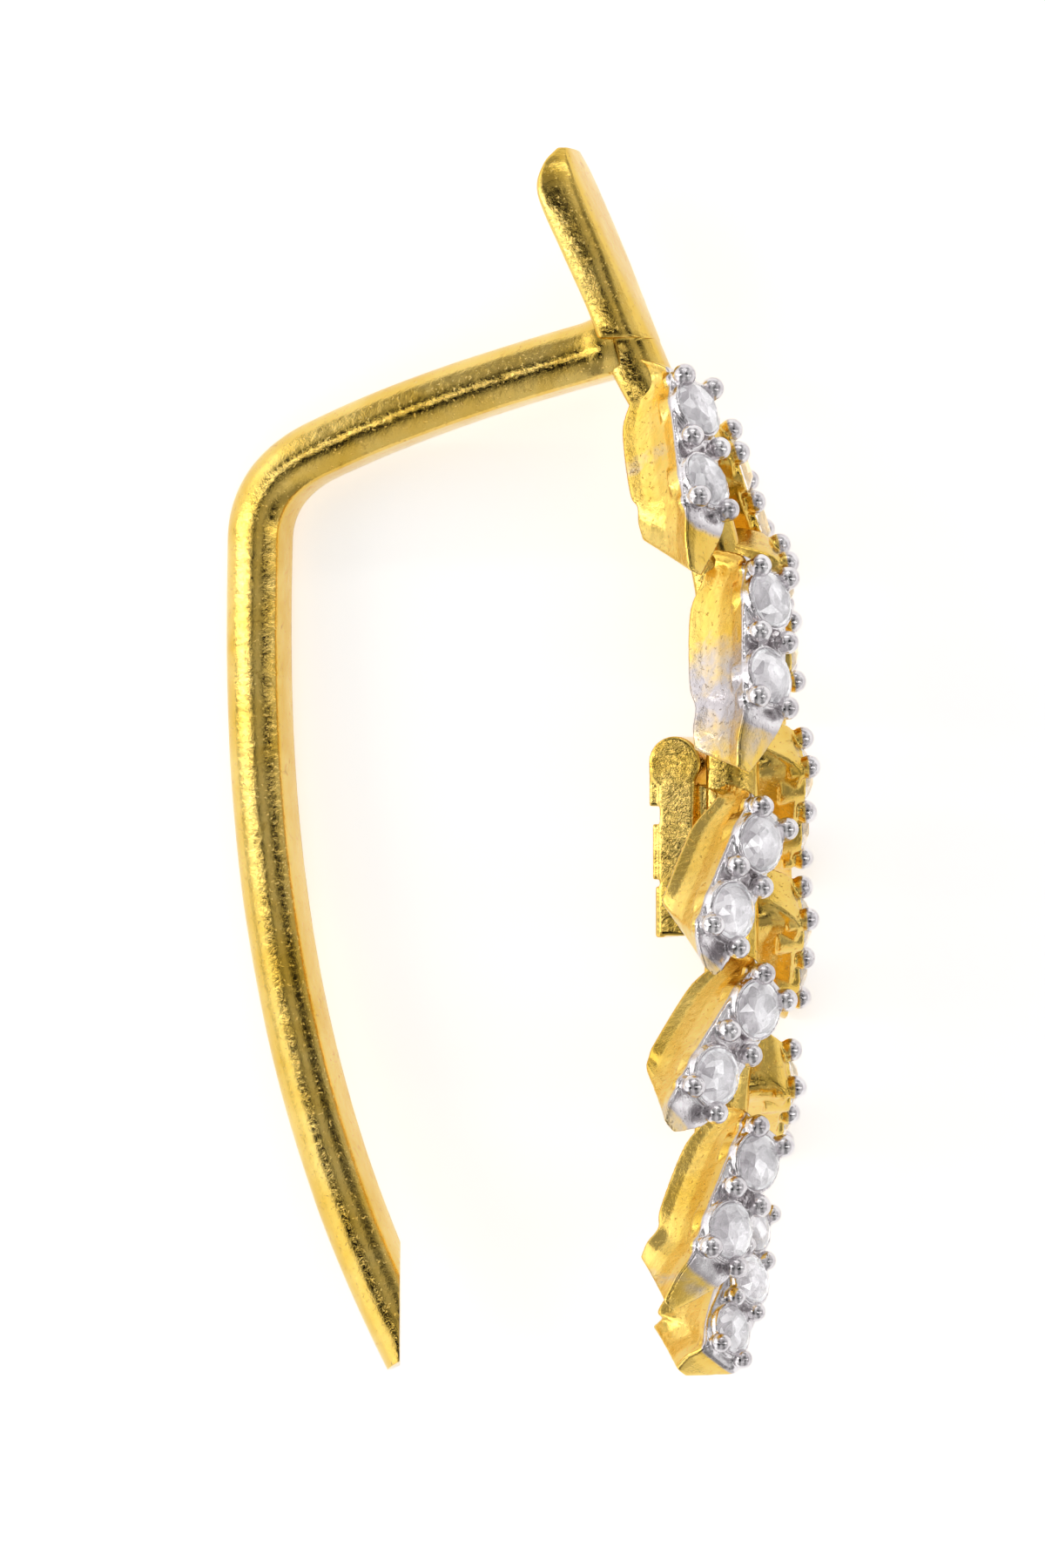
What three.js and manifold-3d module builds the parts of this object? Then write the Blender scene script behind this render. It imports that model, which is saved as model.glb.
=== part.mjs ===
// Ear cuff: a hook wire that goes behind the ear, and in front of it a spray of stone-set leaves.
// Millimetres, +Z up. The cuff lies on its far side, as it rests by itself on a table.
// It is modelled worn first: X to the front, Y to the far side, Z up. Then it is laid down.
import * as THREE from 'three';
import { mergeVertices } from 'three/addons/utils/BufferGeometryUtils.js';
import Module from 'manifold-3d';

const wasm = await Module();
wasm.setup();

// Hook wire: a round wire with a flat along the side that touches the ear.
const WIRE_RADIUS = 0.95;
const WIRE_FLAT = 0.74;
const WIRE_SIDES = 16;
const HOOK_CUT_X = 4.15;
const HOOK = {
  arm: [[11.2, 28.5], [5.6, 27.25], [1.9, 25.65]],
  bend: [[1.9, 25.65], [0.1, 24.9], [0, 23.3]],
  leg: [[0, 23.3], [-0.15, 17.5], [-0.1, 9], [4.66, 0.3]],
};

// Spine of the spray: its ridge bows forward, most at the middle, and a finger continues it upwards.
const BOW = { front: 14.59, middle: 15.5, above: 0.0014, below: 0.00058 };
const FINGER = { bottom: 27.6, slope: 0.446 };
const SPINE = [
  // up: height, half: half width, depth: front to back, ridge: half width of the flat ridge
  { up: 33.95, half: 0.65, depth: 0.3, ridge: 0.5 },
  { up: 33.45, half: 1.0, depth: 0.9, ridge: 0.85 },
  { up: 32.6, half: 1.2, depth: 1.4, ridge: 1.0 },
  { up: 31.0, half: 1.2, depth: 1.42, ridge: 0.95 },
  { up: 29.6, half: 1.15, depth: 1.4, ridge: 0.7 },
  { up: 28.66, half: 1.1, depth: 1.45, ridge: 0.55 },
  { up: 28.5, half: 0.8, depth: 1.5, ridge: 0.45 },
  { up: 27.0, half: 0.8, depth: 1.6, ridge: 0.35 },
  { up: 25.0, half: 0.62, depth: 1.5, ridge: 0.22 },
  { up: 21.0, half: 0.6, depth: 1.4, ridge: 0.22 },
  { up: 17.0, half: 0.6, depth: 1.4, ridge: 0.22 },
  { up: 13.0, half: 0.6, depth: 1.4, ridge: 0.22 },
  { up: 9.0, half: 0.6, depth: 1.4, ridge: 0.22 },
  { up: 5.5, half: 0.55, depth: 1.3, ridge: 0.2 },
  { up: 3.0, half: 0.45, depth: 1.1, ridge: 0.18 },
];

// Stones are round brilliants. A seat leaves a small gap round each.
const STONE = { radius: 0.77, girdle: 0.03, crown: 0.26, table: 0.43, pavilion: 0.62, sides: 10 };
const END_STONE = 0.84;
const SEAT_GAP = 0.06;
const BALL = { radius: 0.33, stalk: 0.26, lift: 0.16, length: 0.85, sides: 6 };
const BALL_SIDE = 0.56;
const BALL_END = 0.8;

// Leaves: each is a deep blade that carries a row of stones on its front edge.
// side: -1 near, 1 far. A point is [up, out from the spine, lift in front of the ridge].
// end: how deep the leaf still is at its tip, and how far back along the leaf its end is cut there.
const FACE_TURN = 0.5;
const BLADE = { half: 0.86, root: 0.6, rootDepth: 1.0, tip: 0.1, below: 0.42, edge: 0.12, slant: 1.0 };
const LEAVES = [
  { name: 'near_1', side: -1, depth: 2.1, end: [1.6, 1.8], stones: [[26.62, 1.0, 0.53], [24.6, 2.0, 0.21]], tip: [21.99, 3.0, -0.5] },
  { name: 'near_2', side: -1, depth: 2.2, end: [1.7, 1.0], stones: [[21.33, 1.0, 0.95], [19.24, 1.8, 0.96]], tip: [16.65, 2.9, 0.45] },
  { name: 'near_3', side: -1, depth: 2.0, end: [1.9, 1.55], stones: [[14.69, 1.7, 0.6], [12.84, 2.8, 0.13]], tip: [11.19, 3.9, -0.18] },
  { name: 'near_4', side: -1, depth: 2.1, end: [1.9, 1.65], stones: [[10.14, 1.8, 0.62], [8.36, 3.1, -0.05]], tip: [7.01, 4.5, -0.84] },
  { name: 'near_5', side: -1, depth: 2.1, end: [1.65, 1.4], stones: [[5.95, 1.2, 0.86], [4.11, 2.2, 0.74]], tip: [2.09, 3.5, -0.08] },
  { name: 'far_1', side: 1, depth: 1.9, end: [1.6, 1.4], stones: [[25.14, 1.0, 0.43], [23.67, 2.3, 0.08]], tip: [22.0, 3.4, -0.5] },
  { name: 'far_2', side: 1, depth: 1.9, end: [1.6, 1.4], stones: [[21.94, 1.2, 0.72], [20.1, 2.2, 0.32]], tip: [18.0, 3.5, -0.2] },
  { name: 'far_3', side: 1, depth: 1.9, end: [1.6, 1.4], stones: [[16.58, 1.8, 0.73], [15.18, 3.1, 0.26]], tip: [13.6, 4.4, -0.3] },
  { name: 'far_4', side: 1, depth: 1.9, end: [1.6, 1.4], stones: [[12.47, 1.8, 0.71], [11.24, 3.2, 0.23]], tip: [9.8, 4.5, -0.4] },
  { name: 'far_5', side: 1, depth: 1.9, end: [1.6, 1.4], stones: [[8.04, 1.6, 0.62], [7.13, 3.2, 0.07]], tip: [5.9, 4.5, -0.5] },
];
const END_LEAF = {
  name: 'end_1', side: -1, depth: 2.2, end: [1.25, 1.6], rise: 2.0, stones: [[4.0, -1.0, 0.5], [2.63, 0.0, 1.1], [1.3, 0.8, 1.2]], tip: [0.12, 1.3, 0.3],
};

// Back pad: a round-topped plate on a web behind the spine, with three plain blocks towards the ear.
const PAD = { back: 12.0, front: 13.0, half: 0.85, bottom: 12.1, top: 16.86, web: 0.45 };
const ARCH = { middle: 12.42, radius: 0.74 };
const BLOCKS = [
  { bottom: 15.67, top: 16.86, back: 11.68 },
  { bottom: 13.65, top: 15.18, back: 11.78 },
  { bottom: 12.05, top: 13.46, back: 11.86 },
];

// How it lies: turned onto its far side, then settled on the bend of the hook and two far leaves.
const LYING = { tilt: -12.3, roll: -2.07 };

const at = ([x, z]) => new THREE.Vector3(x, 0, z);

function ridgeAt(up) {
  if (up > FINGER.bottom) return ridgeAt(FINGER.bottom) - FINGER.slope * (up - FINGER.bottom);
  const away = up - BOW.middle;
  return BOW.front - (away > 0 ? BOW.above : BOW.below) * Math.abs(away) ** 3;
}

// A closed solid through rings of equally many points, with both ends filled.
function loft(rings) {
  const count = rings[0].length;
  const places = rings.flat().flatMap((p) => [p.x, p.y, p.z]);
  const faces = [];
  for (let r = 0; r + 1 < rings.length; r++) {
    for (let i = 0; i < count; i++) {
      const j = (i + 1) % count;
      const [a, b, c, d] = [r * count + i, r * count + j, (r + 1) * count + j, (r + 1) * count + i];
      faces.push(a, b, c, a, c, d);
    }
  }
  const last = (rings.length - 1) * count;
  for (let i = 1; i + 1 < count; i++) {
    faces.push(0, i + 1, i);
    faces.push(last, last + i, last + i + 1);
  }
  const geometry = new THREE.BufferGeometry();
  geometry.setAttribute('position', new THREE.Float32BufferAttribute(places, 3));
  geometry.setIndex(faces);
  return geometry;
}

function solid(geometry, matrix = new THREE.Matrix4()) {
  const bare = geometry.clone().applyMatrix4(matrix);
  bare.deleteAttribute('normal');
  bare.deleteAttribute('uv');
  const merged = mergeVertices(bare, 1e-5);
  const made = new wasm.Manifold(new wasm.Mesh({
    numProp: 3,
    vertProperties: merged.attributes.position.array,
    triVerts: new Uint32Array(merged.index.array),
  }));
  return made;
}

function geometryOf(body) {
  const mesh = body.getMesh();
  const geometry = new THREE.BufferGeometry();
  geometry.setAttribute('position', new THREE.BufferAttribute(mesh.vertProperties, 3));
  geometry.setIndex(new THREE.BufferAttribute(mesh.triVerts, 1));
  return geometry;
}

function box(x0, x1, y0, y1, z0, z1) {
  const place = new THREE.Matrix4().makeTranslation((x0 + x1) / 2, (y0 + y1) / 2, (z0 + z1) / 2);
  return solid(new THREE.BoxGeometry(x1 - x0, y1 - y0, z1 - z0), place);
}

function hook() {
  const path = new THREE.CurvePath();
  path.add(new THREE.QuadraticBezierCurve3(...HOOK.arm.map(at)));
  path.add(new THREE.QuadraticBezierCurve3(...HOOK.bend.map(at)));
  path.add(new THREE.CubicBezierCurve3(...HOOK.leg.map(at)));
  const steps = 32;
  const rings = [];
  for (let s = 0; s <= steps; s++) {
    const centre = path.getPointAt(s / steps);
    const along = path.getTangentAt(s / steps);
    const inward = new THREE.Vector3(-along.z, 0, along.x);
    rings.push(wireRing(centre, inward));
  }
  const tail = box(HOOK_CUT_X, HOOK_CUT_X + 6, -3, 3, -3, 5.5);
  return solid(loft(rings)).subtract(tail);
}

function wireRing(centre, inward) {
  const ring = [];
  for (let i = 0; i < WIRE_SIDES; i++) {
    const turn = (2 * Math.PI * i) / WIRE_SIDES;
    const inside = Math.min(WIRE_RADIUS * Math.cos(turn), WIRE_FLAT);
    ring.push(centre.clone().addScaledVector(inward, inside).setY(-WIRE_RADIUS * Math.sin(turn)));
  }
  return ring;
}

function spine() {
  const rings = SPINE.map(({ up, half, depth, ridge }) => {
    const front = ridgeAt(up);
    const shape = [
      [0, ridge], [0.16, ridge + 0.12], [0.45, half], [depth - 0.2, half * 0.95], [depth, half * 0.7],
    ];
    const near = shape.map(([back, side]) => new THREE.Vector3(front - back, -side, up));
    const far = shape.map(([back, side]) => new THREE.Vector3(front - back, side, up)).reverse();
    return [...near, ...far];
  });
  return solid(loft(rings));
}

// The frame of a leaf: its row of stones, and which way their tables and its sides face.
function leafFrame(leaf) {
  const place = ([up, out, lift]) => new THREE.Vector3(ridgeAt(up) + lift, leaf.side * out, up);
  const stones = leaf.stones.map(place);
  const tip = place(leaf.tip);
  const along = stones.at(-1).clone().sub(stones[0]).normalize();
  const facing = new THREE.Vector3(Math.cos(FACE_TURN), leaf.side * Math.sin(FACE_TURN), 0);
  const front = facing.addScaledVector(along, -facing.dot(along)).normalize();
  const across = new THREE.Vector3().crossVectors(front, along);
  return { stones, tip, along, front, across };
}

// A blade is lofted through upright sections: root in the spine, a shoulder, each stone, a shoulder, tip.
// Towards the tip the back of each section lags behind its face, which cuts the end of the leaf at a slant.
function blade(leaf) {
  const { stones, tip, along, front, across } = leafFrame(leaf);
  const [endDepth, cut] = leaf.end;
  const rootUp = leaf.stones[0][0] + (leaf.rise ?? 1.3);
  const root = new THREE.Vector3(ridgeAt(rootUp) - 0.45, stones[0].y * 0.2, rootUp);
  const drop = (p, reach = 0) => p.clone().addScaledVector(front, -BLADE.below).addScaledVector(along, reach);
  const shoulder = (BALL_END + 0.25) * leaf.scale;
  const last = drop(stones.at(-1), shoulder);
  const past = (p) => p.clone().sub(stones.at(-1)).dot(along);
  const share = (a, b) => THREE.MathUtils.clamp(a / b, 0, 1);
  const stations = [
    { centre: root, half: BLADE.root, depth: BLADE.rootDepth },
    { centre: drop(stones[0], -shoulder), half: BLADE.half * 0.95, depth: leaf.depth * 0.8 },
    ...stones.map((stone) => ({ centre: drop(stone), half: BLADE.half })),
    { centre: last, half: BLADE.half * 0.9 },
    { centre: last.clone().lerp(tip, 0.5), half: BLADE.half * 0.6 },
    { centre: last.clone().lerp(tip, 0.84), half: BLADE.half * 0.28 },
    { centre: tip, half: BLADE.tip },
  ];
  const rings = stations.map(({ centre, half, depth }) => {
    const deep = depth ?? THREE.MathUtils.lerp(leaf.depth, endDepth, share(past(centre), past(tip)));
    const lag = cut * share(past(centre) + BLADE.slant, past(tip) + BLADE.slant);
    const edge = Math.min(BLADE.edge, half / 2);
    const shape = [[half - edge, 0], [half, -edge], [half, edge - deep], [half - edge, -deep]];
    const set = ([side, high]) => centre.clone().addScaledVector(across, side)
      .addScaledVector(front, high).addScaledVector(along, (lag * high) / deep);
    const other = shape.map(([side, high]) => set([-side, high]));
    return [...other, ...shape.map(set).reverse()];
  });
  return solid(loft(rings));
}

function stoneProfile(scale, gap) {
  const r = STONE.radius * scale + gap;
  const points = [
    [0, -STONE.pavilion * scale - gap * 1.3], [r, -STONE.girdle - gap * 0.3], [r, STONE.girdle + gap * 0.3],
    [STONE.table * scale + gap * 0.5, STONE.crown * scale + gap], [0, STONE.crown * scale + gap],
  ];
  return points.map(([x, y]) => new THREE.Vector2(x, y));
}

const stoneGeometry = (scale, gap = 0) => new THREE.LatheGeometry(stoneProfile(scale, gap), STONE.sides);

// Turns a geometry made round +Y so that +Y points to the front of the leaf, and moves it to a point.
function facing(frame, point) {
  return new THREE.Matrix4().makeBasis(frame.across, frame.front, frame.along).setPosition(point);
}

function prong(frame, point, scale) {
  const radius = BALL.radius * scale;
  const outline = [new THREE.Vector2(0, -BALL.length), new THREE.Vector2(BALL.stalk, -BALL.length)];
  for (const turn of [-45, 0, 45]) {
    const angle = THREE.MathUtils.degToRad(turn);
    outline.push(new THREE.Vector2(radius * Math.cos(angle), radius * Math.sin(angle)));
  }
  outline.push(new THREE.Vector2(0, radius));
  const pin = new THREE.LatheGeometry(outline, BALL.sides);
  return solid(pin.translate(0, BALL.lift, 0), facing(frame, point));
}

// Prongs stand in pairs: one pair before the first stone, one between stones, one after the last.
function prongs(frame, scale) {
  const { stones, along, across } = frame;
  const rows = [stones[0].clone().addScaledVector(along, -BALL_END * scale)];
  for (let i = 1; i < stones.length; i++) rows.push(stones[i - 1].clone().lerp(stones[i], 0.5));
  rows.push(stones.at(-1).clone().addScaledVector(along, BALL_END * scale));
  return rows.flatMap((row, i) => [-1, 1].map((hand) => {
    const spread = BALL_SIDE + (i === 0 || i === rows.length - 1 ? 0.1 : 0);
    return prong(frame, row.clone().addScaledVector(across, hand * spread * scale), scale);
  }));
}

function backPad() {
  const { back, front, half, bottom, top, web } = PAD;
  const plate = box(back, front, -half, half, bottom, top);
  const joiner = box(front - 0.1, ridgeAt(15) - 0.8, -web, web, bottom + 0.6, top - 0.6);
  const blocks = BLOCKS.map((b) => box(b.back, back + 0.1, -half * 0.94, half * 0.94, b.bottom, b.top));
  const arch = wasm.Manifold.cylinder(2 * half, ARCH.radius, ARCH.radius, 24, true)
    .rotate([90, 0, 0]).translate([ARCH.middle, 0, top]);
  return [plate, arch, joiner, ...blocks];
}

const gold = new THREE.MeshStandardMaterial({ color: 0xd0a83c, roughness: 0.22, metalness: 1 });
const clear = new THREE.MeshStandardMaterial({ color: 0xeef0f2, roughness: 0.03, metalness: 0 });

const leaves = [...LEAVES.map((leaf) => ({ ...leaf, scale: 1 })), { ...END_LEAF, scale: END_STONE }];
const worn = new THREE.Group();
const joined = [hook(), spine(), ...backPad()];
const seats = [];
for (const leaf of leaves) {
  const frame = leafFrame(leaf);
  joined.push(blade(leaf), ...prongs(frame, leaf.scale));
  frame.stones.forEach((point, i) => {
    seats.push(solid(stoneGeometry(leaf.scale, SEAT_GAP), facing(frame, point)));
    const stone = new THREE.Mesh(stoneGeometry(leaf.scale), clear.clone());
    stone.name = `stone_${leaf.name}${'abc'[i]}`;
    stone.applyMatrix4(facing(frame, point));
    worn.add(stone);
  });
}
const metal = wasm.Manifold.union(joined).subtract(wasm.Manifold.union(seats));
const body = new THREE.Mesh(geometryOf(metal), gold);
body.name = 'metal_body';
worn.add(body);

worn.rotation.x = -Math.PI / 2;
const group = new THREE.Group();
group.rotation.set(THREE.MathUtils.degToRad(LYING.roll), THREE.MathUtils.degToRad(LYING.tilt), 0);
group.add(worn);
group.updateMatrixWorld(true);
const room = new THREE.Box3().setFromObject(group, true);
const middle = room.getCenter(new THREE.Vector3());
group.position.set(-middle.x, -middle.y, -room.min.z);

export default group;
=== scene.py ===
"""Ear cuff with a leaf spray: fine metal, faceted stones and their finishes around the CAD frame."""

import math

import bpy
import numpy as np
from mathutils import Matrix, Vector, noise


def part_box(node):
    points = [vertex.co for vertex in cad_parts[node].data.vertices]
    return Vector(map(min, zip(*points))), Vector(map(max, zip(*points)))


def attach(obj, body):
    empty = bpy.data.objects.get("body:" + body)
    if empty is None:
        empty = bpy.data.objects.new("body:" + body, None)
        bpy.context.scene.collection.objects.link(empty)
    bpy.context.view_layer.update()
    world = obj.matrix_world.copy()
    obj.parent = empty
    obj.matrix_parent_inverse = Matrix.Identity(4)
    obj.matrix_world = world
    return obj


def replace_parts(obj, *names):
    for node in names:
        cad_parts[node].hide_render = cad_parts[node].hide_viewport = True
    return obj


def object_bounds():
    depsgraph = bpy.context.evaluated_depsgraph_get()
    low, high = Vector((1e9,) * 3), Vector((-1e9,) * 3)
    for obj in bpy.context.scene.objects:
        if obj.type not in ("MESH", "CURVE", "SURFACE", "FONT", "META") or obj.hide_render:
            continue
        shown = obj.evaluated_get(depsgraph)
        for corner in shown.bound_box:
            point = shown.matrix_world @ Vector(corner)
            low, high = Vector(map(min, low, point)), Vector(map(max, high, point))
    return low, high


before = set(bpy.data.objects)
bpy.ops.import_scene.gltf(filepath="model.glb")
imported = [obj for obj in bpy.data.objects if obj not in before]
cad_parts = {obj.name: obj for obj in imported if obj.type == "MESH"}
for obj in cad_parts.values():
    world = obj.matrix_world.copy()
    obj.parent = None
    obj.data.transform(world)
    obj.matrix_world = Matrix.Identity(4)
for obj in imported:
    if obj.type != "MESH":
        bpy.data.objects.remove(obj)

CAD_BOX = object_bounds()
MM = 0.001

# The cuff as worn, in millimetres: X to the front of the spray, Y to the far side, Z up.
HOOK = {
    "arm": [(11.2, 28.5), (5.6, 27.25), (1.9, 25.65)],
    "bend": [(1.9, 25.65), (0.1, 24.9), (0.0, 23.3)],
    "leg": [(0.0, 23.3), (-0.15, 17.5), (-0.1, 9.0), (4.66, 0.3)],
}
WIRE = {"radius": 0.95, "flat": 0.74, "cut_x": 4.15}
BOW = {"front": 14.59, "middle": 15.5, "above": 0.0014, "below": 0.00058}
FINGER = {"bottom": 27.6, "slope": 0.446}
SPINE = [
    # up, half width, depth, half width of the ridge
    (33.95, 0.65, 0.3, 0.5),
    (33.45, 1.0, 0.9, 0.85),
    (32.6, 1.2, 1.4, 1.0),
    (31.0, 1.2, 1.42, 0.95),
    (29.6, 1.15, 1.4, 0.7),
    (28.66, 1.1, 1.45, 0.55),
    (28.5, 0.8, 1.5, 0.45),
    (27.0, 0.8, 1.6, 0.35),
    (25.0, 0.62, 1.5, 0.22),
    (21.0, 0.6, 1.4, 0.22),
    (13.0, 0.6, 1.4, 0.22),
    (9.0, 0.6, 1.4, 0.22),
    (5.5, 0.55, 1.3, 0.2),
    (3.0, 0.45, 1.1, 0.18),
]
STONE = {"radius": 0.77, "girdle": 0.03, "crown": 0.26, "table": 0.43, "pavilion": 0.62}
END_SCALE = 0.84
SEAT_GAP = 0.03
BALL = {"radius": 0.33, "stalk": 0.29, "lift": 0.08, "length": 0.6, "side": 0.54, "end": 0.8}
FACE_TURN = 0.5
BLADE = {"half": 0.86, "root": 0.6, "root_depth": 1.0, "tip": 0.1, "below": 0.22, "slant": 0.6}
LEAVES = [
    # name, side, depth, depth and slant of the end, rise of the root, stones and tip as (up, out, lift)
    ("near_1", -1, 1.95, (1.6, 1.8), 1.3, [(26.62, 1.0, 0.53), (24.6, 2.0, 0.21)], (21.99, 3.0, -0.5)),
    ("near_2", -1, 2.1, (1.7, 1.0), 1.3, [(21.33, 1.0, 0.95), (19.24, 1.8, 0.96)], (16.65, 2.9, 0.45)),
    ("near_3", -1, 1.8, (1.9, 1.55), 1.3, [(14.69, 1.7, 0.6), (12.84, 2.8, 0.13)], (11.19, 3.9, -0.18)),
    ("near_4", -1, 1.9, (1.9, 1.65), 1.3, [(10.14, 1.8, 0.62), (8.36, 3.1, -0.05)], (7.01, 4.5, -0.84)),
    ("near_5", -1, 1.95, (1.65, 1.4), 1.3, [(5.95, 1.2, 0.86), (4.11, 2.2, 0.74)], (2.09, 3.5, -0.08)),
    ("far_1", 1, 1.9, (1.6, 1.4), 1.3, [(25.14, 1.0, 0.43), (23.67, 2.3, 0.08)], (22.0, 3.4, -0.5)),
    ("far_2", 1, 1.9, (1.6, 1.4), 1.3, [(21.94, 1.2, 0.72), (20.1, 2.2, 0.32)], (18.0, 3.5, -0.2)),
    ("far_3", 1, 1.9, (1.6, 1.4), 1.3, [(16.58, 1.8, 0.73), (15.18, 3.1, 0.26)], (13.6, 4.4, -0.3)),
    ("far_4", 1, 1.9, (1.6, 1.4), 1.3, [(12.47, 1.8, 0.71), (11.24, 3.2, 0.23)], (9.8, 4.5, -0.4)),
    ("far_5", 1, 1.9, (1.6, 1.4), 1.3, [(8.04, 1.6, 0.62), (7.13, 3.2, 0.07)], (5.9, 4.5, -0.5)),
    ("end_1", -1, 2.0, (1.25, 1.6), 2.0, [(4.0, -1.0, 0.5), (2.63, 0.0, 1.1), (1.3, 0.8, 1.2)], (0.12, 1.3, 0.3)),
]
PAD = {"back": 12.0, "front": 13.0, "half": 0.85, "bottom": 12.1, "top": 16.86, "web": 0.45}
ARCH = {"middle": 12.42, "radius": 0.74}
BLOCKS = [(15.67, 16.86, 11.68), (13.65, 15.18, 11.78), (12.05, 13.46, 11.86)]
LYING = {"tilt": -12.3, "roll": -2.07}

# White plating that runs over the walls of some leaves: how far along, how wide, how strong.
WALL_WHITE = {
    "near_1": (1.2, 0.8, 0.42),
    "near_2": (2.7, 2.6, 0.60),
    "near_3": (4.0, 0.7, 0.5),
    "near_4": (4.2, 0.8, 0.5),
    "near_5": (4.0, 0.6, 0.42),
}

# Viewing: how far the front of the spray turns to the camera, and what the picture spans.
VIEW = {"turn": 18.0, "right": 7.38, "up": 16.285, "height": 44.28, "lens": 150.0}
VOXEL = 0.048


# ---------------------------------------------------------------- places

def ridge(up):
    """How far forward the ridge of the spine is at a height."""
    if up > FINGER["bottom"]:
        return ridge(FINGER["bottom"]) - FINGER["slope"] * (up - FINGER["bottom"])
    away = up - BOW["middle"]
    return BOW["front"] - BOW["above" if away > 0 else "below"] * abs(away) ** 3


def lying_turn():
    tilt = Matrix.Rotation(math.radians(LYING["tilt"]), 4, "Y")
    roll = Matrix.Rotation(math.radians(LYING["roll"]), 4, "X")
    return roll @ tilt @ Matrix.Rotation(-math.pi / 2, 4, "X")


class Leaf:
    """One leaf's frame: its stones, its tip, and the directions along, across and out of its face."""

    def __init__(self, name, side, depth, end, rise, stones, tip):
        self.name, self.side, self.depth, self.end, self.rise = name, side, depth, end, rise
        self.scale = END_SCALE if name.startswith("end") else 1.0
        self.stones = [self.place(s) for s in stones]
        self.tip = self.place(tip)
        self.first_up = stones[0][0]
        self.along = (self.stones[-1] - self.stones[0]).normalized()
        facing = Vector((math.cos(FACE_TURN), side * math.sin(FACE_TURN), 0))
        self.front = (facing - self.along * facing.dot(self.along)).normalized()
        self.across = self.front.cross(self.along)

    def place(self, point):
        up, out, lift = point
        return Vector((ridge(up) + lift, self.side * out, up))

    def at(self, origin, across=0.0, front=0.0, along=0.0):
        return origin + self.across * across + self.front * front + self.along * along

    def matrix(self, origin):
        turn = Matrix((self.across, self.front, self.along)).transposed().to_4x4()
        return Matrix.Translation(origin) @ turn

    def stations(self):
        """(centre of the face, half width, depth, how far its back lags) from the root to the tip."""
        root_up = self.first_up + self.rise
        root = Vector((ridge(root_up) - 0.45, self.stones[0].y * 0.2, root_up))
        shoulder = (BALL["end"] + 0.25) * self.scale
        low, half = -BLADE["below"], BLADE["half"]
        last = self.at(self.stones[-1], front=low, along=shoulder)
        plain = [
            (root, BLADE["root"], BLADE["root_depth"]),
            (self.at(self.stones[0], front=low, along=-shoulder), half * 0.95, self.depth * 0.78),
            *[(self.at(s, front=low), half, None) for s in self.stones],
            (last, half * 0.9, None),
            (last.lerp(self.tip, 0.5), half * 0.68, None),
            (last.lerp(self.tip, 0.84), half * 0.42, None),
            (self.tip, BLADE["tip"] * 2.4, None),
        ]
        end_depth, cut = self.end
        reach = (self.tip - self.stones[-1]).dot(self.along)
        made = []
        for centre, wide, depth in plain:
            past = (centre - self.stones[-1]).dot(self.along)
            share = min(max(past / reach, 0), 1)
            lag = cut * min(max((past + BLADE["slant"]) / (reach + BLADE["slant"]), 0), 1)
            made.append((centre, wide, depth or self.depth + (end_depth - self.depth) * share, lag))
        return made


def stone_outline(scale, gap=0.0):
    radius = STONE["radius"] * scale + gap
    return [
        (0, -STONE["pavilion"] * scale), (radius, -STONE["girdle"]), (radius, STONE["girdle"]),
        (STONE["table"] * scale, STONE["crown"] * scale), (0, STONE["crown"] * scale),
    ]


def row_from_worn(leaf):
    """The turn and move that lay the cuff down, found from where the frame holds one stone."""
    turn = lying_turn()
    spots = [
        turn @ leaf.matrix(leaf.stones[0]) @ Vector((r * math.sin(a), high, r * math.cos(a)))
        for r, high in stone_outline(leaf.scale)
        for a in [2 * math.pi * i / 10 for i in range(10)]
    ]
    middle = Vector([(min(p[i] for p in spots) + max(p[i] for p in spots)) / 2 for i in range(3)])
    low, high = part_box(f"stone_{leaf.name}a")
    held = (Vector(low) + Vector(high)) / 2 / MM
    return Matrix.Translation(held - middle) @ turn


leaves = [Leaf(*row) for row in LEAVES]
LAY = row_from_worn(leaves[0])
TO_ROW = Matrix.Scale(MM, 4) @ LAY


# ---------------------------------------------------------------- curves and lofts

def bezier(points, t):
    points = [Vector((x, 0, z)) for x, z in points]
    while len(points) > 1:
        points = [a.lerp(b, t) for a, b in zip(points, points[1:])]
    return points[0]


def smooth(rows, count):
    """Rows of numbers, carried on a smooth curve through them at count even places."""
    rows = [np.array(r, float) for r in rows]
    ends = [2 * rows[0] - rows[1], *rows, 2 * rows[-1] - rows[-2]]
    made = []
    for k in range(count):
        place = (len(rows) - 1) * k / (count - 1)
        i = min(int(place), len(rows) - 2)
        t = place - i
        a, b, c, d = ends[i:i + 4]
        made.append(0.5 * (2 * b + (c - a) * t + (2 * a - 5 * b + 4 * c - d) * t ** 2
                           + (3 * b - a - 3 * c + d) * t ** 3))
    return made


def loft(rings):
    """(points, faces) of a closed solid through rings that turn the same way."""
    count = len(rings[0])
    points = [p for ring in rings for p in ring]
    faces = []
    for r in range(len(rings) - 1):
        for i in range(count):
            j = (i + 1) % count
            faces.append((r * count + i, r * count + j, (r + 1) * count + j, (r + 1) * count + i))
    last = (len(rings) - 1) * count
    faces.append(tuple(reversed(range(count))))
    faces.append(tuple(range(last, last + count)))
    return points, faces


def turned(outline, sides, matrix):
    """(points, faces) of an outline of (radius, height) turned about the second axis of a matrix."""
    points, faces = [], []
    for radius, high in outline:
        for i in range(sides):
            a = 2 * math.pi * i / sides
            points.append(matrix @ Vector((radius * math.sin(a), high, radius * math.cos(a))))
    for r in range(len(outline) - 1):
        for i in range(sides):
            j = (i + 1) % sides
            faces.append((r * sides + i, r * sides + j, (r + 1) * sides + j, (r + 1) * sides + i))
    return points, faces


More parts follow.
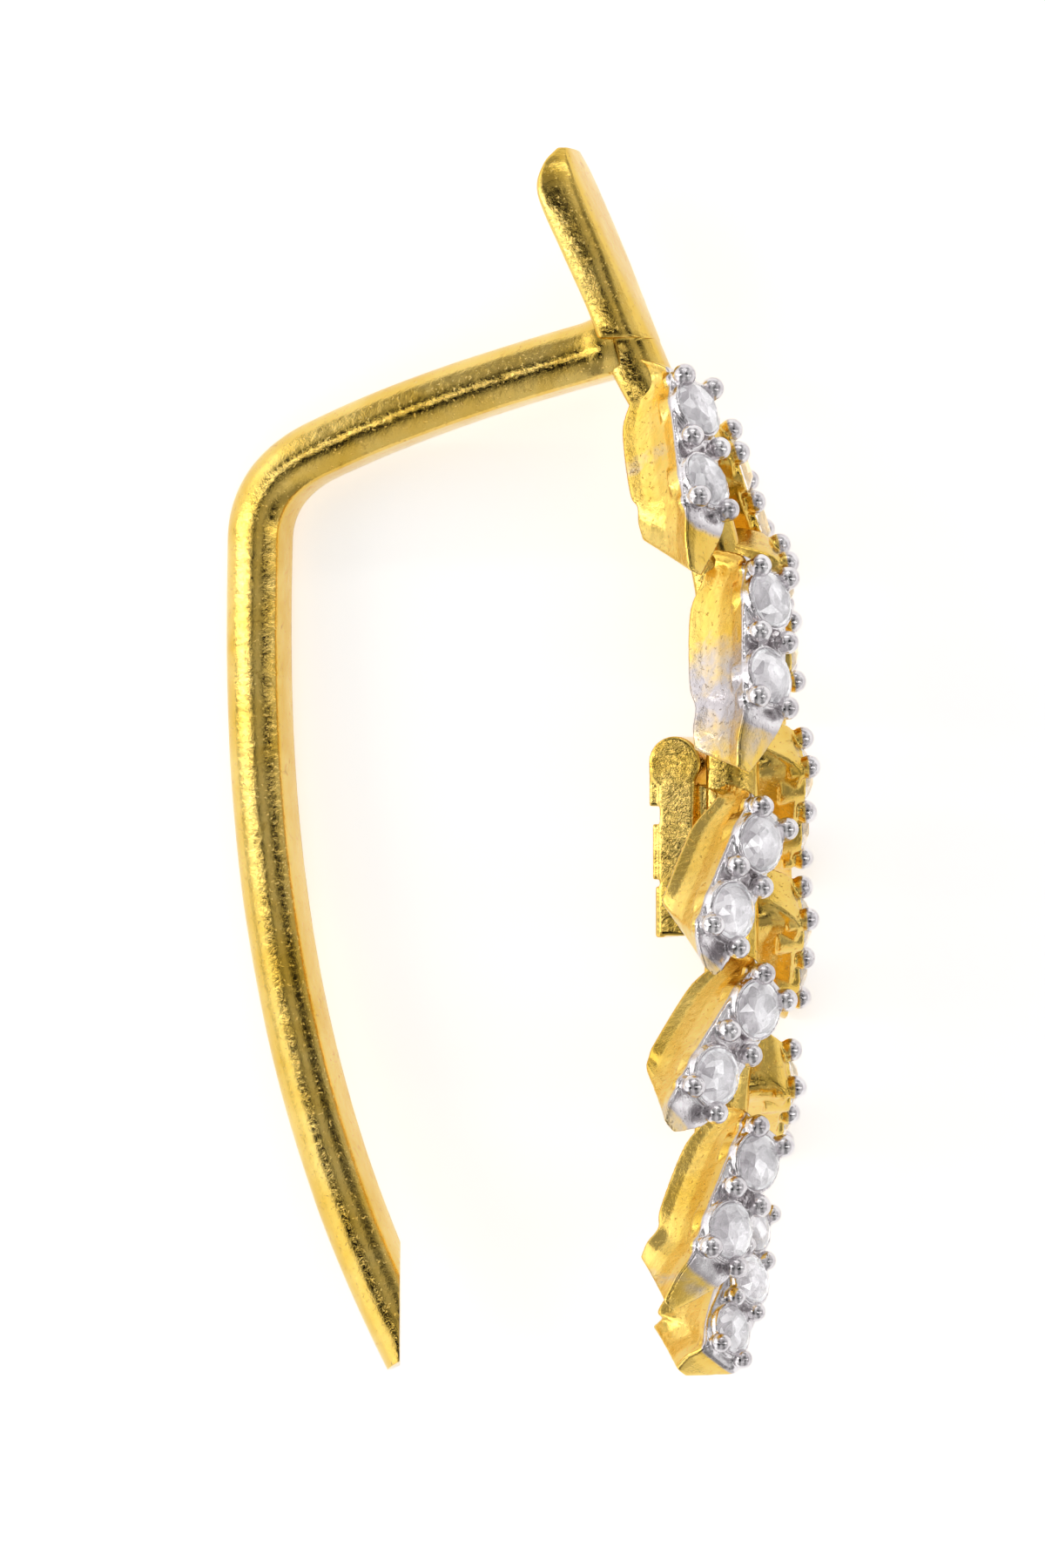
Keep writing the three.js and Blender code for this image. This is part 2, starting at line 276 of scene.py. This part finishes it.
def mesh_of(name, parts):
    points, faces = [], []
    for some, joined in parts:
        base = len(points)
        points += some
        faces += [tuple(base + i for i in f) for f in joined]
    mesh = bpy.data.meshes.new(name)
    mesh.from_pydata([tuple(p) for p in points], [], faces)
    mesh.validate()
    return mesh


def modified(mesh, *steps):
    """A copy of a mesh with modifiers applied: each step is (type, settings)."""
    holder = bpy.data.objects.new("holder", mesh)
    bpy.context.scene.collection.objects.link(holder)
    for kind, settings in steps:
        modifier = holder.modifiers.new(kind, kind)
        for key, value in settings.items():
            setattr(modifier, key, value)
    graph = bpy.context.evaluated_depsgraph_get()
    made = bpy.data.meshes.new_from_object(holder.evaluated_get(graph))
    bpy.data.objects.remove(holder)
    return made


def finish_piece(name, mesh, material, matrix=None, shade=True):
    """Puts a mesh made in worn millimetres in the row frame, as a piece that rides on the cuff."""
    mesh.transform(matrix or TO_ROW)
    kept = np.clip(points_of(mesh), *CAD_BOX)
    mesh.vertices.foreach_set("co", kept.ravel())
    mesh.name = name
    mesh.materials.clear()
    mesh.materials.append(material)
    mesh.polygons.foreach_set("use_smooth", [shade] * len(mesh.polygons))
    piece = bpy.data.objects.new(name, mesh)
    bpy.context.scene.collection.objects.link(piece)
    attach(piece, "root")
    return piece


def set_whiteness(mesh, values):
    layer = mesh.attributes.new("white", "FLOAT", "POINT")
    layer.data.foreach_set("value", np.clip(values, 0, 1).astype(np.float32))


def points_of(mesh):
    found = np.empty(len(mesh.vertices) * 3)
    mesh.vertices.foreach_get("co", found)
    return found.reshape(-1, 3)


def step(value, low, high):
    t = np.clip((value - low) / (high - low), 0, 1)
    return t * t * (3 - 2 * t)


# ---------------------------------------------------------------- materials

def nodes_for(name):
    material = bpy.data.materials.new(name)
    material.use_nodes = True
    tree = material.node_tree
    return material, tree, tree.nodes["Principled BSDF"]


def millimetres(tree):
    """Coordinates of the object in millimetres."""
    where = tree.nodes.new("ShaderNodeTexCoord")
    scale = tree.nodes.new("ShaderNodeVectorMath")
    scale.operation = "SCALE"
    scale.inputs["Scale"].default_value = 1 / MM
    tree.links.new(where.outputs["Object"], scale.inputs[0])
    return scale.outputs[0]


def noise_at(tree, where, scale, detail=4.0, rough=0.55, warp=0.0):
    node = tree.nodes.new("ShaderNodeTexNoise")
    node.inputs["Scale"].default_value = scale
    node.inputs["Detail"].default_value = detail
    node.inputs["Roughness"].default_value = rough
    node.inputs["Distortion"].default_value = warp
    tree.links.new(where, node.inputs["Vector"])
    return node.outputs["Fac"]


def ramp(tree, value, *stops):
    node = tree.nodes.new("ShaderNodeValToRGB")
    band = node.color_ramp
    while len(band.elements) < len(stops):
        band.elements.new(0.5)
    for element, (place, colour) in zip(band.elements, stops):
        element.position = place
        element.color = (*colour, 1) if len(colour) == 3 else colour
    tree.links.new(value, node.inputs["Fac"])
    return node.outputs["Color"]


def grey(tree, value, *stops):
    return ramp(tree, value, *[(place, (shade,) * 3) for place, shade in stops])


def blend(tree, factor, a, b):
    node = tree.nodes.new("ShaderNodeMix")
    node.data_type = "RGBA"
    for socket, given in ((node.inputs[0], factor), (node.inputs[6], a), (node.inputs[7], b)):
        if isinstance(given, bpy.types.NodeSocket):
            tree.links.new(given, socket)
        else:
            socket.default_value = given if not isinstance(given, tuple) else (*given, 1)
    return node.outputs[2]


def maths(tree, operation, a, b):
    node = tree.nodes.new("ShaderNodeMath")
    node.operation = operation
    node.use_clamp = True
    for socket, given in zip(node.inputs, (a, b)):
        if isinstance(given, bpy.types.NodeSocket):
            tree.links.new(given, socket)
        else:
            socket.default_value = given
    return node.outputs[0]


def bumps(tree, shader, heights):
    """Chains bumps: each is (height, depth in mm, strength)."""
    normal = None
    for height, depth, strength in heights:
        node = tree.nodes.new("ShaderNodeBump")
        node.inputs["Distance"].default_value = depth * MM
        node.inputs["Strength"].default_value = strength
        tree.links.new(height, node.inputs["Height"])
        if normal:
            tree.links.new(normal, node.inputs["Normal"])
        normal = node.outputs["Normal"]
    tree.links.new(normal, shader.inputs["Normal"])


GOLD = {"light": (0.86, 0.61, 0.17), "deep": (0.76, 0.48, 0.07), "stain": (0.34, 0.19, 0.03)}
# White metal colours; the wall entry is a darker copy, painted shade on the leaf walls.
WHITE = {"light": (0.88, 0.85, 0.86), "deep": (0.52, 0.48, 0.50), "wall": (0.50, 0.46, 0.47)}


def gold_colour(tree, where):
    """Plating that runs from pale to deep gold, with brown stains in a few places."""
    wide = noise_at(tree, where, 0.55, 3.0, 0.6, 0.4)
    plating = blend(tree, grey(tree, wide, (0.35, 0.0), (0.7, 1.0)), GOLD["light"], GOLD["deep"])
    spots = grey(tree, noise_at(tree, where, 2.6, 6.0, 0.65, 0.8), (0.60, 0.0), (0.72, 1.0))
    stains = maths(tree, "MULTIPLY", spots, 0.5)
    return blend(tree, stains, plating, GOLD["stain"])


def metal_material(name, two_tone):
    """Polished plating with pits and hairline scratches; two_tone turns it white where the metal is marked, with
    painted shade that makes the white darker on the walls than on the faces.
    """
    material, tree, shader = nodes_for(name)
    where = millimetres(tree)
    colour = gold_colour(tree, where)
    polish = grey(tree, noise_at(tree, where, 1.7, 5.0, 0.6), (0.3, 0.04), (0.75, 0.16))
    if two_tone:
        mark = tree.nodes.new("ShaderNodeAttribute")
        mark.attribute_name = "white"
        patchy = noise_at(tree, where, 1.5, 4.0, 0.6, 0.5)
        pushed = maths(tree, "ADD", mark.outputs["Fac"], maths(tree, "MULTIPLY", patchy, 0.5))
        share = grey(tree, pushed, (0.60, 0.0), (0.85, 1.0))
        greys = noise_at(tree, where, 2.2, 4.0, 0.6)
        pale = blend(tree, grey(tree, greys, (0.35, 0.0), (0.7, 1.0)), WHITE["light"], WHITE["deep"])
        # Painted shade: where the white reaches over a wall it takes the darker wall colour, on the faces the
        # lighter one.
        unshaded_face = grey(tree, mark.outputs["Fac"], (0.62, 0.0), (0.9, 1.0))
        pale = blend(tree, unshaded_face, WHITE["wall"], pale)
        colour = blend(tree, share, colour, pale)
    tree.links.new(colour, shader.inputs["Base Color"])
    tree.links.new(polish, shader.inputs["Roughness"])
    shader.inputs["Metallic"].default_value = 1.0
    pits = grey(tree, noise_at(tree, where, 9.0, 2.0, 0.5), (0.27, 0.0), (0.34, 1.0))
    swell = noise_at(tree, where, 0.9, 2.0, 0.5)
    grain = noise_at(tree, where, 28.0, 3.0, 0.6)
    ragged = noise_at(tree, where, 6.0, 5.0, 0.65, 0.5)
    bumps(tree, shader, [(swell, 0.12, 0.25), (ragged, 0.03, 0.35), (pits, 0.03, 0.7), (grain, 0.006, 0.3)])
    return material


def stone_material():
    """Clear brilliant-cut stone, with a painted sparkle: a patchy glow in its material stands in for the glints
    of its facets.
    """
    material, tree, shader = nodes_for("clear_stone")
    where = millimetres(tree)
    tint = blend(tree, noise_at(tree, where, 1.2, 2.0), (0.98, 0.98, 1.0), (0.90, 0.90, 0.93))
    tree.links.new(tint, shader.inputs["Base Color"])
    smear = grey(tree, noise_at(tree, where, 5.0, 3.0), (0.4, 0.0), (0.8, 0.05))
    tree.links.new(smear, shader.inputs["Roughness"])
    shader.inputs["IOR"].default_value = 2.1
    shader.inputs["Transmission Weight"].default_value = 0.85
    # Painted sparkle: a patchy glow from cells of noise, not from the facets catching light.
    cells = tree.nodes.new("ShaderNodeTexVoronoi")
    cells.inputs["Scale"].default_value = 3.2
    tree.links.new(where, cells.inputs["Vector"])
    parts = tree.nodes.new("ShaderNodeSeparateXYZ")
    tree.links.new(cells.outputs["Color"], parts.inputs[0])
    painted_sparkle = grey(tree, parts.outputs["X"], (0.0, 0.06), (0.3, 0.22), (0.5, 0.45), (0.75, 0.6), (0.85, 1.0))
    tree.links.new(painted_sparkle, shader.inputs["Emission Color"])
    shader.inputs["Emission Strength"].default_value = 0.3
    return material


def floor_material():
    material, tree, shader = nodes_for("pale_floor")
    where = millimetres(tree)
    shade = blend(tree, noise_at(tree, where, 0.02, 2.0), (0.93, 0.93, 0.93), (0.96, 0.96, 0.96))
    tree.links.new(shade, shader.inputs["Base Color"])
    shader.inputs["Roughness"].default_value = 0.8
    shader.inputs["Emission Color"].default_value = (1, 1, 1, 1)
    shader.inputs["Emission Strength"].default_value = 0.52
    return material


# ---------------------------------------------------------------- metal pieces

def wire_ring(centre, along, sides=56, radius=WIRE["radius"]):
    inward = Vector((-along.z, 0, along.x))
    ring = []
    for i in range(sides):
        a = 2 * math.pi * i / sides
        inside = radius * math.cos(a)
        over = inside - WIRE["flat"]
        if over > 0:
            inside = WIRE["flat"] + over * 0.12
        point = centre + inward * inside
        ring.append(Vector((point.x, -radius * math.sin(a), point.z)))
    return ring


def hook_wire(material):
    """The arm, bend and leg of the hook, with an oblique cut at its end."""
    line = []
    for part, first, count in (("arm", 3, 70), ("bend", 0, 40), ("leg", 0, 150)):
        line += [bezier(HOOK[part], k / count) for k in range(first, count)]
    line.append(bezier(HOOK["leg"], 1.0))
    rings = []
    for i, centre in enumerate(line):
        along = (line[min(i + 1, len(line) - 1)] - line[max(i - 1, 0)]).normalized()
        wander = noise.noise(centre * 0.35) * 0.015 + 0.09 * math.exp(-((centre.x - 10.3) / 0.35) ** 2)
        rings.append(wire_ring(centre, along, radius=WIRE["radius"] * (1 + wander)))
    mesh = mesh_of("hook_wire", [loft(rings)])
    turn = math.radians(VIEW["turn"])
    cut_off(mesh, Vector((WIRE["cut_x"], 0, 0)), Vector((math.cos(turn), math.sin(turn), 0)), below=6.0)
    made = modified(mesh, ("BEVEL", {"width": 0.05, "segments": 2, "angle_limit": 0.7}))
    set_whiteness(made, np.zeros(len(made.vertices)))
    return finish_piece("hook_wire", made, material)


def cut_off(mesh, point, normal, below):
    """Cuts the wire's leg at a plane and closes it."""
    import bmesh
    edit = bmesh.new()
    edit.from_mesh(mesh)
    low = [f for f in edit.faces if f.calc_center_median().z < below]
    parts = list({e for f in low for e in f.edges}) + list({v for f in low for v in f.verts}) + low
    made = bmesh.ops.bisect_plane(edit, geom=parts, plane_co=point, plane_no=normal, clear_outer=True)
    edges = [g for g in made["geom_cut"] if isinstance(g, bmesh.types.BMEdge)]
    bmesh.ops.holes_fill(edit, edges=edges)
    edit.to_mesh(mesh)
    edit.free()


def spine_and_finger(material):
    """The ridge bar that carries the leaves, and the finger above it that curls back."""
    rings = []
    for up, half, depth, flat in smooth(SPINE, 150):
        front = ridge(up)
        side = [
            (-0.02, 0), (0, flat * 0.8), (depth * 0.04, flat), (depth * 0.14, (flat + half) / 2 + 0.03),
            (depth * 0.3, half * 0.98), (depth * 0.5, half), (depth * 0.8, half), (depth * 0.92, half * 0.98),
            (depth, half * 0.85),
        ]
        near = [Vector((front - back, -w, up)) for back, w in side]
        far = [Vector((front - back, w, up)) for back, w in reversed(side[1:])]
        rings.append(near + far)
    made = modified(mesh_of("spine", [loft(rings)]), ("SUBSURF", {"levels": 1}))
    set_whiteness(made, np.zeros(len(made.vertices)))
    return finish_piece("spine_and_finger", made, material)


def blade_part(leaf):
    """The deep leaf, with hollowed walls and its end cut at a slant."""
    rows = [(*centre, half, depth, lag) for centre, half, depth, lag in leaf.stations()]
    rings = []
    for x, y, z, half, depth, lag in smooth(rows, 48):
        centre = Vector((x, y, z))
        hollow = min(0.15, half * 0.3)
        side = [
            (half * 0.5, 0.02), (half - 0.05, 0.0), (half, -0.06), (half - hollow * 0.75, -depth * 0.25),
            (half - hollow, -depth * 0.5), (half - hollow * 0.75, -depth * 0.75),
            (half, 0.06 - depth), (half - 0.05, -depth), (half * 0.5, -depth),
        ]
        near = [leaf.at(centre, -w, h, lag * h / depth) for w, h in side]
        rings.append(near + [leaf.at(centre, w, h, lag * h / depth) for w, h in reversed(side)])
    return loft(rings)


def prong_places(leaf):
    reach = BALL["end"] * leaf.scale
    stones = leaf.stones
    rows = [leaf.at(stones[0], along=-reach)]
    rows += [a.lerp(b, 0.5) for a, b in zip(stones, stones[1:])]
    rows.append(leaf.at(stones[-1], along=reach))
    for i, row in enumerate(rows):
        spread = BALL["side"] + (0.03 if i in (0, len(rows) - 1) else 0)
        for hand in (-1, 1):
            yield leaf.at(row, across=hand * spread * leaf.scale)


def prong_part(leaf, place):
    radius, stalk = BALL["radius"] * leaf.scale, BALL["stalk"]
    outline = [(0.001, -BALL["length"]), (stalk, -BALL["length"]), (stalk, -BALL["length"] * 0.55)]
    for k in range(9):
        a = math.radians(-50 + 140 * k / 8)
        outline.append((max(0.001, radius * math.cos(a)), radius * math.sin(a)))
    return turned(outline, 20, leaf.matrix(leaf.at(place, front=BALL["lift"])))


def collar_part(leaf, stone):
    inner = STONE["radius"] * leaf.scale + SEAT_GAP
    outer = inner + 0.075
    outline = [
        (0.001, -0.75), (outer, -0.75), (outer, -0.06), (outer - 0.02, 0.0), (inner, 0.0),
        (inner - 0.04, -0.08), (0.25, -0.52), (0.001, -0.52),
    ]
    return turned(outline, 40, leaf.matrix(stone))


def leaf_piece(leaf, material):
    """A deep leaf with its stone collars and ball prongs, melted together as cast metal is."""
    parts = [blade_part(leaf)]
    parts += [prong_part(leaf, place) for place in prong_places(leaf)]
    parts += [collar_part(leaf, stone) for stone in leaf.stones]
    rough = mesh_of(f"leaf_{leaf.name}", parts)
    made = modified(rough, ("REMESH", {"mode": "VOXEL", "voxel_size": VOXEL}),
                    ("SMOOTH", {"factor": 0.5, "iterations": 2}))
    set_whiteness(made, leaf_whiteness(leaf, points_of(made)))
    return finish_piece(f"leaf_{leaf.name}", made, material)


def leaf_whiteness(leaf, points):
    """White plating on the face and prongs of a leaf, and over part of its walls."""
    away = points - np.array(leaf.stones[0])
    high = away @ np.array(leaf.front)
    along = away @ np.array(leaf.along)
    last = (leaf.stones[-1] - leaf.stones[0]).dot(leaf.along)
    if leaf.side > 0:
        return step(high, -0.12, 0.2)
    face = step(high, -BLADE["below"] - 0.3, -BLADE["below"] + 0.05) * step(along, last + 2.2, last + 1.2)
    middle, spread, amount = WALL_WHITE.get(leaf.name, (last + 2.0, 0.7, 0.4))
    wall = np.exp(-((along - middle) / spread) ** 2) * amount
    return np.maximum(face, wall)


def back_pad(material):
    """The small plate behind the spine, with three plain raised blocks towards the ear."""
    half = PAD["half"]
    parts = [
        box_part((PAD["back"], PAD["front"]), (-half, half), (PAD["bottom"], PAD["top"])),
        box_part((PAD["front"] - 0.1, ridge(15) - 0.8), (-PAD["web"], PAD["web"]),
                 (PAD["bottom"] + 0.6, PAD["top"] - 0.6)),
    ]
    parts += [box_part((back, PAD["back"] + 0.1), (-half * 0.94, half * 0.94), (low, high))
              for low, high, back in BLOCKS]
    drum = [(0.001, -half), (ARCH["radius"], -half), (ARCH["radius"], half), (0.001, half)]
    parts.append(turned(drum, 48, Matrix.Translation((ARCH["middle"], 0, PAD["top"]))))
    made = modified(mesh_of("back_pad", parts), ("REMESH", {"mode": "VOXEL", "voxel_size": VOXEL}),
                    ("SMOOTH", {"factor": 0.5, "iterations": 2}))
    set_whiteness(made, np.zeros(len(made.vertices)))
    return finish_piece("back_pad", made, material)


def box_part(across, deep, high):
    points = [Vector((x, y, z)) for z in high for y in deep for x in across]
    faces = [(0, 2, 3, 1), (4, 5, 7, 6), (0, 1, 5, 4), (2, 6, 7, 3), (0, 4, 6, 2), (1, 3, 7, 5)]
    return points, faces


# ---------------------------------------------------------------- stones

def brilliant(leaf, stone):
    """A round brilliant: table, stars, kites, halves, a thin girdle, and a pavilion of mains and halves."""
    scale = leaf.scale
    radius, crown, girdle = STONE["radius"] * scale, STONE["crown"] * scale, STONE["girdle"]
    table, deep = STONE["table"] * scale, STONE["pavilion"] * scale
    rings = [
        (table, crown, 8, 0.0),
        ((table + radius) / 2 * 1.02, crown * 0.60, 8, 0.5),
        (radius, girdle, 16, 0.0),
        (radius, -girdle, 16, 0.0),
        (radius * 0.42, -deep * 0.62, 8, 0.5),
    ]
    points = []
    starts = []
    for r, high, count, shift in rings:
        starts.append(len(points))
        for i in range(count):
            a = 2 * math.pi * (i + shift) / count
            points.append((r * math.cos(a), high, r * math.sin(a)))
    culet = len(points)
    points.append((0, -deep, 0))
    top, star, upper, lower, main = starts
    faces = [tuple(top + i for i in range(8))]
    for i in range(8):
        j = (i + 1) % 8
        here, middle, beyond = (upper + (2 * i + k) % 16 for k in range(3))
        faces.append((top + j, top + i, star + i))
        faces.append((top + i, star + (i - 1) % 8, here, star + i))
        faces += [(star + i, here, middle), (star + i, middle, beyond)]
        faces.append((lower + (2 * i) % 16, lower + (2 * i + 1) % 16, main + i))
        faces.append((lower + (2 * i + 1) % 16, lower + (2 * i + 2) % 16, main + i))
        faces.append((main + i, lower + (2 * i + 2) % 16, main + j, culet))
    for k in range(16):
        m = (k + 1) % 16
        faces.append((upper + k, lower + k, lower + m, upper + m))
    mesh = bpy.data.meshes.new("brilliant")
    mesh.from_pydata(points, [], faces)
    face_out(mesh)
    mesh.transform(TO_ROW @ leaf.matrix(stone))
    return mesh


def face_out(mesh):
    import bmesh
    edit = bmesh.new()
    edit.from_mesh(mesh)
    bmesh.ops.recalc_face_normals(edit, faces=edit.faces)
    edit.to_mesh(mesh)
    edit.free()


# ---------------------------------------------------------------- stage

def set_camera():
    turn = math.radians(VIEW["turn"])
    right = Vector((math.cos(turn), math.sin(turn), 0))
    back = Vector((math.sin(turn), -math.cos(turn), 0))
    centre = right * VIEW["right"] + Vector((0, 0, VIEW["up"]))
    data = bpy.data.cameras.new("camera")
    data.lens = VIEW["lens"]
    data.sensor_width = 36.0
    data.clip_start, data.clip_end = 0.01, 5.0
    camera = bpy.data.objects.new("camera", data)
    bpy.context.scene.collection.objects.link(camera)
    away = VIEW["height"] * VIEW["lens"] / data.sensor_width
    turn_only = LAY.to_3x3()
    axes = Matrix((turn_only @ right, turn_only @ Vector((0, 0, 1)), turn_only @ back)).transposed()
    place = Matrix.Translation(LAY @ (centre + back * away) * MM)
    camera.matrix_world = place @ axes.to_4x4()
    bpy.context.scene.camera = camera


def area_light(name, place, target, size, power, colour=(1, 1, 1)):
    data = bpy.data.lights.new(name, "AREA")
    data.shape = "RECTANGLE"
    data.size, data.size_y = size
    data.energy = power
    data.color = colour
    light = bpy.data.objects.new(name, data)
    bpy.context.scene.collection.objects.link(light)
    light.location = place
    light.rotation_euler = (Vector(target) - Vector(place)).to_track_quat("-Z", "Y").to_euler()


def set_world():
    world = bpy.data.worlds.new("studio")
    bpy.context.scene.world = world
    world.use_nodes = True
    tree = world.node_tree
    where = tree.nodes.new("ShaderNodeTexCoord")
    split = tree.nodes.new("ShaderNodeSeparateXYZ")
    tree.links.new(where.outputs["Generated"], split.inputs[0])
    side = maths(tree, "MULTIPLY_ADD", split.outputs["X"], 0.5)
    side.node.inputs[2].default_value = 0.5
    bands = grey(tree, side, (0.0, 0.9), (0.03, 2.6), (0.13, 2.6), (0.16, 0.0), (0.34, 0.0), (0.38, 0.8),
                 (0.58, 0.9), (0.62, 0.0), (0.80, 0.03), (0.85, 0.9), (1.0, 1.0))
    high = maths(tree, "MULTIPLY_ADD", split.outputs["Y"], 0.5)
    high.node.inputs[2].default_value = 0.5
    across = grey(tree, high, (0.0, 0.7), (0.24, 0.9), (0.34, 0.02), (0.64, 0.03), (0.74, 0.9), (1.0, 1.1))
    both = blend(tree, 0.42, bands, across)
    tree.links.new(both, tree.nodes["Background"].inputs["Color"])
    tree.nodes["Background"].inputs["Strength"].default_value = 0.9


def make_floor():
    size = 0.6
    points = [(-size, -size, 0), (size, -size, 0), (size, size, 0), (-size, size, 0)]
    mesh = bpy.data.meshes.new("floor")
    mesh.from_pydata(points, [], [(0, 1, 2, 3)])
    mesh.materials.append(floor_material())
    floor = bpy.data.objects.new("floor", mesh)
    floor.location.z = -0.00002
    bpy.context.scene.collection.objects.link(floor)


def main():
    gold = metal_material("gold_plating", two_tone=False)
    two_tone = metal_material("two_tone_plating", two_tone=True)
    clear = stone_material()
    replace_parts(hook_wire(gold), "metal_body")
    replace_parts(spine_and_finger(gold), "metal_body")
    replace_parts(back_pad(gold), "metal_body")
    for leaf in leaves:
        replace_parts(leaf_piece(leaf, two_tone), "metal_body")
        for stone, letter in zip(leaf.stones, "abc"):
            mesh = brilliant(leaf, stone)
            piece = finish_piece(f"gem_{leaf.name}{letter}", mesh, clear, Matrix(), shade=False)
            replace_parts(piece, f"stone_{leaf.name}{letter}")
    make_floor()
    set_camera()
    set_world()
    area_light("left_box", (-0.22, 0.03, 0.14), (0, 0, 0), (0.028, 0.3), 0.10)
    area_light("right_box", (0.20, -0.02, 0.20), (0, 0, 0), (0.02, 0.3), 0.06)
    area_light("back_box", (0.0, 0.26, 0.18), (0, 0, 0), (0.3, 0.02), 0.07)
    bpy.context.scene.view_settings.view_transform = "Standard"


main()
